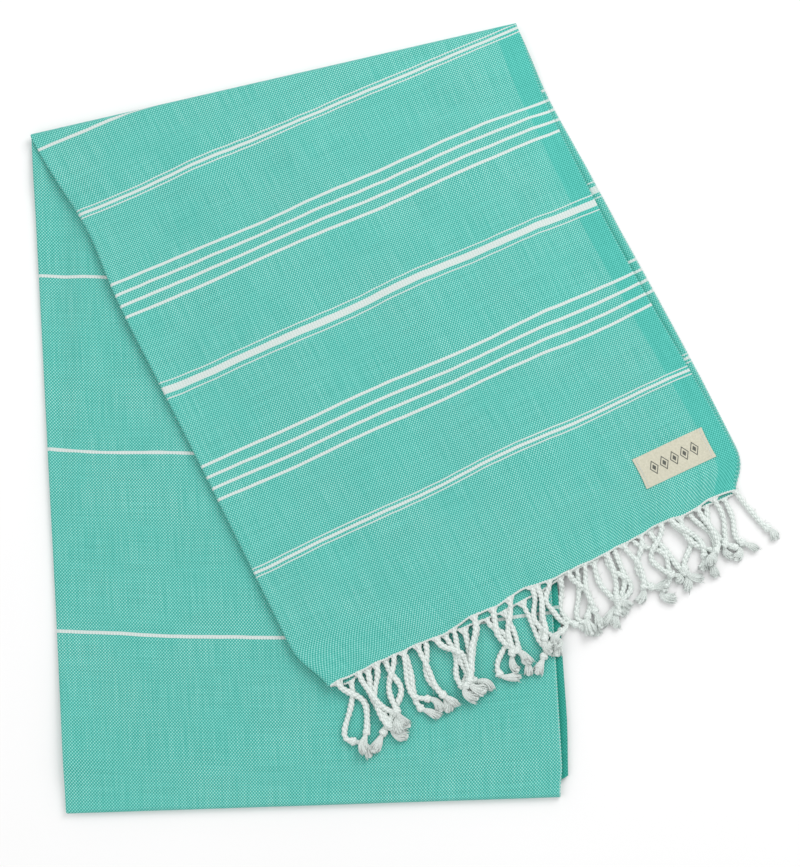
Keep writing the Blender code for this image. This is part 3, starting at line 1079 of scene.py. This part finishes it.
def wander(route, chance, along, out, root):
    """Bends a cord's route from side to side and draws its tip towards its neighbours'."""
    share = np.linspace(0, 1, 40)
    knots = np.linspace(0, 1, len(route))
    even = np.column_stack([np.interp(share, knots, route[:, k]) for k in range(3)])
    beside = (even[:, :2] - root) @ along
    ahead = (even[:, :2] - root) @ out
    gather = (math.floor(beside[-1] / GATHER) + 0.5 + chance.uniform(-0.12, 0.12)) * GATHER
    end, free = smooth(beside[:1], 0.40, 0.41)[0], smooth(beside[:1], 0.17, 0.30)[0]
    draw = 0.55 * (gather - beside[-1]) * (1 - end)
    size = chance.uniform(4.0, 10.0 + 2.0 * free) * (1 - 0.5 * end) * MM
    turns = chance.uniform(3.5, 8.0)
    phase = chance.uniform(0, 2 * math.pi)
    kink = 0.3 * np.sin(2.3 * turns * share + chance.uniform(0, 2 * math.pi))
    swing = size * (np.sin(turns * share + phase) - math.sin(phase) + kink - kink[0])
    swing = swing * smooth(share, 0.0, 0.35)
    beside = beside + draw * share**1.3 + swing - 0.5 * swing[-1] * share**2
    ahead = ahead * (1 - (chance.uniform(0.0, 0.08) + 0.12 * free) * share)
    flat = root + along * beside[:, None] + out * ahead[:, None]
    return np.column_stack([flat, even[:, 2]])


# Two cords stand for one CAD tassel here, because the real fringe has about 48 cords.
EXTRA_CORDS = {
    "tassel_upper_04": (9 * MM,),
    "tassel_upper_11": (9 * MM,),
    "tassel_upper_18": (9 * MM,),
    "tassel_under_08": (-9 * MM,),
    "tassel_under_15": (-9 * MM,),
}


def make_fringe(places, pieces, material):
    along = (HEM_RIGHT - HEM_LEFT) / np.linalg.norm(HEM_RIGHT - HEM_LEFT)
    out = np.array([along[1], -along[0]])
    hem_length = np.linalg.norm(HEM_RIGHT - HEM_LEFT)
    tree = surface_tree(pieces["back"])
    made, laid = [], []
    middle = places.shape[1] // 2
    for row, side in (("under", -1), ("upper", 1)):
        hem = places[0, middle:] if side > 0 else places[0, : middle + 1][::-1]
        names = sorted(n for n in frame["nodes"] if n.startswith(f"tassel_{row}_"))
        for name in names[::2] + names[1::2]:
            chance = random.Random(f"{SEED} {name}")
            yarns = Yarns()
            for shift in (0.0, *EXTRA_CORDS.get(name, ())):
                route = cad_route(name, HEM_LEFT, out)
                route[:, :2] += along * shift
                start = hem[np.argmin(np.abs((hem[:, :2] - route[0, :2]) @ along))]
                share = np.linspace(0, 1, len(route))[:, None]
                route = route + (start - route[0]) * (1 - share) ** 2
                path = wander(route, chance, along, out, HEM_LEFT)
                path = lay(resample(path, 2 * MM), laid, tree)
                laid.append(path[4:])
                beside = (path[0, :2] - HEM_LEFT) @ along
                room = (beside - 1 * MM, hem_length - 1 * MM - beside)
                tassel(yarns, path, chance, along, room)
            cord_name = name.replace("tassel", "fringe_cord")
            piece = add_piece(cord_name, yarns.mesh(name), material)
            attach(piece, "flap_section")
            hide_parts(name)
            made.append(piece)
    return made


def make_hem_threads(places, material):
    """The thick white thread that locks each layer's hem, twisted along its edge."""
    made = []
    middle = places.shape[1] // 2
    for layer, line in (("upper", places[0, middle + 6 :]), ("under", places[0, : middle - 5][::-1])):
        inner = places[1, middle + 6 :] if layer == "upper" else places[1, : middle - 5][::-1]
        out = line - inner
        out /= np.linalg.norm(out, axis=1)[:, None]
        path = resample(line + out * 0.5 * MM, 1.2 * MM)
        yarns = Yarns()
        ply(yarns, path, 0.55 * MM, 0.72 * MM, 5.5 * MM)
        name = f"hem_thread_{layer}"
        piece = add_piece(name, yarns.mesh(name), material)
        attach(piece, "flap_section")
        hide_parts(f"hem_lock_{layer}")
        made.append(piece)
    return made


HIDDEN_CORDS = 22
HIDDEN_HEIGHT = 2.9 * MM


def make_hidden_fringe(places, material):
    """The fringe of the far end, which lies under the back section."""
    middle = places.shape[1] // 2
    line = places[-1, middle:]
    inner = places[-4, middle:]
    reach = np.linalg.norm(np.diff(line, axis=0), axis=1).cumsum()
    yarns = Yarns()
    for number in range(HIDDEN_CORDS):
        chance = random.Random(f"{SEED} hidden {number}")
        at = int(np.searchsorted(reach, reach[-1] * (number + 0.5) / HIDDEN_CORDS))
        out = line[at] - inner[at]
        out /= np.linalg.norm(out)
        side = np.array([out[1], -out[0], 0.0])
        length = chance.uniform(60, 66) * MM
        lean = chance.uniform(-4, 4) * MM
        route = np.array(
            [line[at] + out * length * t + side * lean * t * t for t in np.linspace(0, 1, 9)]
        )
        route[:, 2] = HIDDEN_HEIGHT
        tassel(yarns, route, chance, side[:2])
    piece = add_piece("hidden_fringe", yarns.mesh("hidden_fringe"), material)
    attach(piece, "tucked_section")
    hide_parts("tucked_fringe")
    return piece


LABEL_SIZE = (73 * MM, 31 * MM)
LABEL_THICKNESS = 0.45 * MM
STITCHES = 10


def label_axes():
    """The label's middle and its directions along and across, from its CAD nodes."""
    centre = node_points("label").mean(axis=0)
    left, right = (node_points(f"label_stitch_{side}").mean(axis=0) for side in ("left", "right"))
    along = (right - left)[:2]
    along /= np.linalg.norm(along)
    return centre[:2], along, np.array([-along[1], along[0]])


def label_grid(tree, us, vs):
    """Points on the label's underside, which lies on the flap with its ends folded in."""
    centre, along, across = label_axes()
    length, width = LABEL_SIZE
    points = []
    for v in vs:
        arch = 1 - (2 * v / width) ** 2
        for u in us:
            pinch = 0.6 * MM * arch * np.sign(u) * bump(abs(u), length / 2, 6 * MM)
            x, y = centre + along * (u - pinch) + across * v
            folded = 0.45 * MM * smooth(abs(u), length / 2 - 6.5 * MM, length / 2 - 5.5 * MM)
            crown = 0.5 * MM * (1 - (2 * u / length) ** 2) * arch
            points.append((x, y, top_of(tree, x, y) + 0.12 * MM + folded + crown))
    return np.array(points).reshape(len(vs), len(us), 3)


def make_label(tree, tape):
    """The label as a closed tape of even thickness."""
    us = np.linspace(-LABEL_SIZE[0] / 2, LABEL_SIZE[0] / 2, 60)
    vs = np.linspace(-LABEL_SIZE[1] / 2, LABEL_SIZE[1] / 2, 26)
    grid = label_grid(tree, us, vs)
    normal = np.cross(np.gradient(grid, axis=1), np.gradient(grid, axis=0))
    normal /= np.linalg.norm(normal, axis=2)[:, :, None]
    raised = grid + normal * LABEL_THICKNESS
    vertices = np.concatenate([raised.reshape(-1, 3), grid.reshape(-1, 3)])
    total = len(vs) * len(us)
    index = np.arange(total).reshape(len(vs), len(us))
    a, b, c, d = index[:-1, :-1], index[:-1, 1:], index[1:, 1:], index[1:, :-1]
    upper = np.stack([a, b, c, d], axis=-1).reshape(-1, 4)
    loop = np.concatenate([index[0, :], index[1:, -1], index[-1, -2::-1], index[-2::-1, 0]])
    one, two = loop[:-1], loop[1:]
    rim = np.stack([one, one + total, two + total, two], axis=-1)
    quads = np.concatenate([upper, upper[:, ::-1] + total, rim])
    flat_uv = np.stack(np.meshgrid(us, vs), axis=-1).reshape(-1, 2)
    mesh = mesh_from("woven_label", vertices, quads, np.concatenate([flat_uv, flat_uv]))
    mesh.set_sharp_from_angle(angle=math.radians(50))
    label = add_piece("woven_label", mesh, tape)
    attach(label, "flap_section")
    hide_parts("label")
    return label


def make_label_threads(tree, yarn):
    """The stitches that hold the label's folded ends."""
    centre, along, across = label_axes()
    sewn = LABEL_SIZE[1] - 2 * MM
    run = np.linspace(0, sewn / STITCHES - 0.7 * MM, 7)
    arch = np.sin(np.linspace(0, math.pi, 7))
    made = []
    for side, sign in (("left", -1), ("right", 1)):
        yarns = Yarns()
        u = sign * (LABEL_SIZE[0] / 2 - 3.2 * MM)
        for k in range(STITCHES):
            v0 = (k / STITCHES - 0.5) * sewn + 0.5 * MM
            path = []
            for d, rise in zip(run, arch, strict=True):
                x, y = centre + along * u + across * (v0 + d)
                path.append((x, y, top_of(tree, x, y) + (0.95 + 0.28 * rise) * MM))
            yarns.add(path, 0.30 * MM, 6)
        name = f"label_thread_{side}"
        piece = add_piece(name, yarns.mesh(name), yarn)
        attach(piece, "flap_section")
        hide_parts(f"label_stitch_{side}")
        made.append(piece)
    return made


def make_stage():
    size = 25.0
    mesh = bpy.data.meshes.new("floor")
    corners = [(-size, -size, 0), (size, -size, 0), (size, size, 0), (-size, size, 0)]
    mesh.from_pydata(corners, [], [(0, 1, 2, 3)])
    floor = bpy.data.objects.new("floor", mesh)
    mesh.materials.append(floor_paper())
    bpy.context.scene.collection.objects.link(floor)

    world = bpy.data.worlds.new("studio")
    world.use_nodes = True
    background = world.node_tree.nodes["Background"]
    background.inputs[0].default_value = (1.0, 1.0, 1.0, 1.0)
    background.inputs[1].default_value = 0.80
    bpy.context.scene.world = world
    for name, place, power, size in (
        ("key_light", (0.9, 1.1, 1.5), 20.0, 1.2),
        ("fill_light", (-1.4, -0.8, 1.8), 8.0, 1.6),
    ):
        light = bpy.data.lights.new(name, "AREA")
        light.energy = power
        light.size = size
        lamp = bpy.data.objects.new(name, light)
        lamp.location = place
        lamp.rotation_mode = "QUATERNION"
        lamp.rotation_quaternion = (-Vector(place)).to_track_quat("-Z", "Y")
        bpy.context.scene.collection.objects.link(lamp)


CAMERA_DISTANCE = 1.8
CAMERA_TILT = math.radians(11)
CAMERA_LENS = 79.0
CAMERA_TARGET = Vector((0.0009, -0.0285, 0.0))


def make_camera():
    """Looks down from the front, a little off the vertical."""
    data = bpy.data.cameras.new("camera")
    data.lens = CAMERA_LENS
    data.sensor_width = 36.0
    camera = bpy.data.objects.new("camera", data)
    back = Vector((0.0, -math.sin(CAMERA_TILT), math.cos(CAMERA_TILT)))
    camera.location = CAMERA_TARGET + back * CAMERA_DISTANCE
    camera.rotation_mode = "QUATERNION"
    camera.rotation_quaternion = (-back).to_track_quat("-Z", "Y")
    bpy.context.scene.collection.objects.link(camera)
    bpy.context.scene.camera = camera


make_camera()
make_stage()
cloth_material = towel_cloth()
yarn_material = yarn_cotton()
pieces, places = make_cloth(cloth_material)
hem_threads = make_hem_threads(places, yarn_material)
fringe = make_fringe(places, pieces, yarn_material)
hidden_fringe = make_hidden_fringe(places, yarn_material)
flap_tree = surface_tree(pieces["flap"])
label = make_label(flap_tree, label_tape())
label_threads = make_label_threads(flap_tree, yarn_material)
bpy.context.scene.view_settings.view_transform = "Standard"
